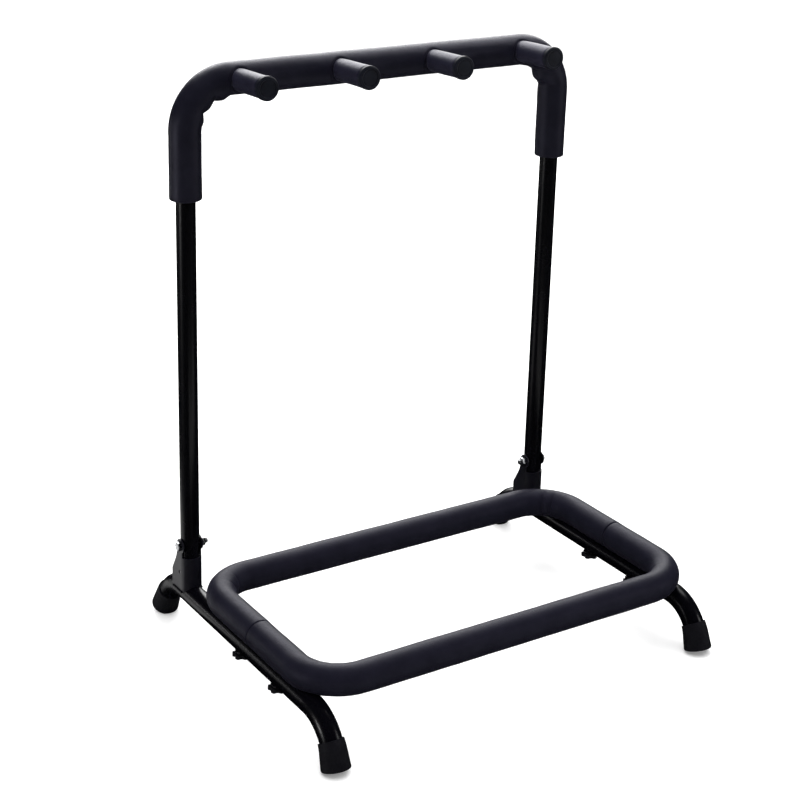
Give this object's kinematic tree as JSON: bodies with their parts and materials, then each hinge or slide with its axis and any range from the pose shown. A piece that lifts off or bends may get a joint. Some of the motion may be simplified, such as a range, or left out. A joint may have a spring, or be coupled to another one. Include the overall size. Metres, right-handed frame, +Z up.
{
  "type": "guitar rack",
  "caption": "Folding floor rack: padded rectangular base on two bent-tube rails, and a hinged padded neck frame with pegs between which guitar necks rest.",
  "frame": {"origin": "on the floor, under the middle of the rack's footprint", "axes": "+Z up, -Y to the front, where the guitars are put in; +X to the right as seen from the front"},
  "size_m": [0.5278, 0.4323, 0.675],
  "materials": {
    "frame_coat": "gloss black powder coat",
    "bracket_coat": "satin black powder coat",
    "foam": "matt closed-cell foam with a smooth skin",
    "foot_rubber": "matt moulded rubber",
    "plastic": "matt moulded plastic",
    "zinc": "bright zinc plate",
    "brass_insert": "plain brass"
  },
  "bodies": {
    "base": {"left_side_rail": "frame_coat", "front_left_foot": "foot_rubber", "rear_left_foot": "foot_rubber", "left_hinge_bracket": "bracket_coat", "left_pivot_bolt": "zinc", "left_pivot_nut": "zinc", "front_left_knob_insert": "brass_insert", "rear_left_knob_insert": "brass_insert", "right_side_rail": "frame_coat", "front_right_foot": "foot_rubber", "rear_right_foot": "foot_rubber", "right_hinge_bracket": "bracket_coat", "right_pivot_bolt": "zinc", "right_pivot_nut": "zinc", "front_right_knob_insert": "brass_insert", "rear_right_knob_insert": "brass_insert", "front_support_tube": "frame_coat", "front_support_foam": "foam", "rear_support_tube": "frame_coat", "rear_support_foam": "foam"},
    "neck_frame": {"neck_frame_tube": "frame_coat", "neck_frame_foam": "foam", "left_pivot_bush": "plastic", "left_upright_plug": "plastic", "right_pivot_bush": "plastic", "right_upright_plug": "plastic", "peg_1_post": "frame_coat", "peg_1_sleeve": "foam", "peg_1_cap": "plastic", "peg_2_post": "frame_coat", "peg_2_sleeve": "foam", "peg_2_cap": "plastic", "peg_3_post": "frame_coat", "peg_3_sleeve": "foam", "peg_3_cap": "plastic", "peg_4_post": "frame_coat", "peg_4_sleeve": "foam", "peg_4_cap": "plastic"},
    "front_left_knob_travel": {"front_left_knob_washer": "zinc"},
    "front_left_knob_turn": {"front_left_knob": "plastic", "front_left_knob_stud": "zinc"},
    "front_right_knob_travel": {"front_right_knob_washer": "zinc"},
    "front_right_knob_turn": {"front_right_knob": "plastic", "front_right_knob_stud": "zinc"},
    "rear_left_knob_travel": {"rear_left_knob_washer": "zinc"},
    "rear_left_knob_turn": {"rear_left_knob": "plastic", "rear_left_knob_stud": "zinc"},
    "rear_right_knob_travel": {"rear_right_knob_washer": "zinc"},
    "rear_right_knob_turn": {"rear_right_knob": "plastic", "rear_right_knob_stud": "zinc"}
  },
  "joints": [
    {"name": "neck_fold", "type": "hinge", "parent": "base", "child": "neck_frame", "pos_m": [0, 0.1324, 0.116], "axis": [1, 0, 0], "range_deg": [0, 90]},
    {"name": "front_left_knob_slide", "type": "slide", "parent": "base", "child": "front_left_knob_travel", "axis": [0, 0, -1], "range_m": [0, 0.0102]},
    {"name": "front_left_knob_turn", "type": "hinge", "parent": "front_left_knob_travel", "child": "front_left_knob_turn", "pos_m": [-0.246, -0.0776, 0.04], "axis": [0, 0, -1], "range_deg": [0, 3600]},
    {"name": "front_right_knob_slide", "type": "slide", "parent": "base", "child": "front_right_knob_travel", "axis": [0, 0, -1], "range_m": [0, 0.0102]},
    {"name": "front_right_knob_turn", "type": "hinge", "parent": "front_right_knob_travel", "child": "front_right_knob_turn", "pos_m": [0.246, -0.0776, 0.04], "axis": [0, 0, -1], "range_deg": [0, 3600]},
    {"name": "rear_left_knob_slide", "type": "slide", "parent": "base", "child": "rear_left_knob_travel", "axis": [0, 0, -1], "range_m": [0, 0.0102]},
    {"name": "rear_left_knob_turn", "type": "hinge", "parent": "rear_left_knob_travel", "child": "rear_left_knob_turn", "pos_m": [-0.246, 0.0044, 0.04], "axis": [0, 0, -1], "range_deg": [0, 3600]},
    {"name": "rear_right_knob_slide", "type": "slide", "parent": "base", "child": "rear_right_knob_travel", "axis": [0, 0, -1], "range_m": [0, 0.0102]},
    {"name": "rear_right_knob_turn", "type": "hinge", "parent": "rear_right_knob_travel", "child": "rear_right_knob_turn", "pos_m": [0.246, 0.0044, 0.04], "axis": [0, 0, -1], "range_deg": [0, 3600]}
  ],
  "couplings": [
    {"joint": "front_left_knob_slide", "follows": "front_left_knob_turn", "m_per_rad": 0.00015915},
    {"joint": "front_right_knob_slide", "follows": "front_right_knob_turn", "m_per_rad": 0.00015915},
    {"joint": "rear_left_knob_slide", "follows": "rear_left_knob_turn", "m_per_rad": 0.00015915},
    {"joint": "rear_right_knob_slide", "follows": "rear_right_knob_turn", "m_per_rad": 0.00015915}
  ]
}
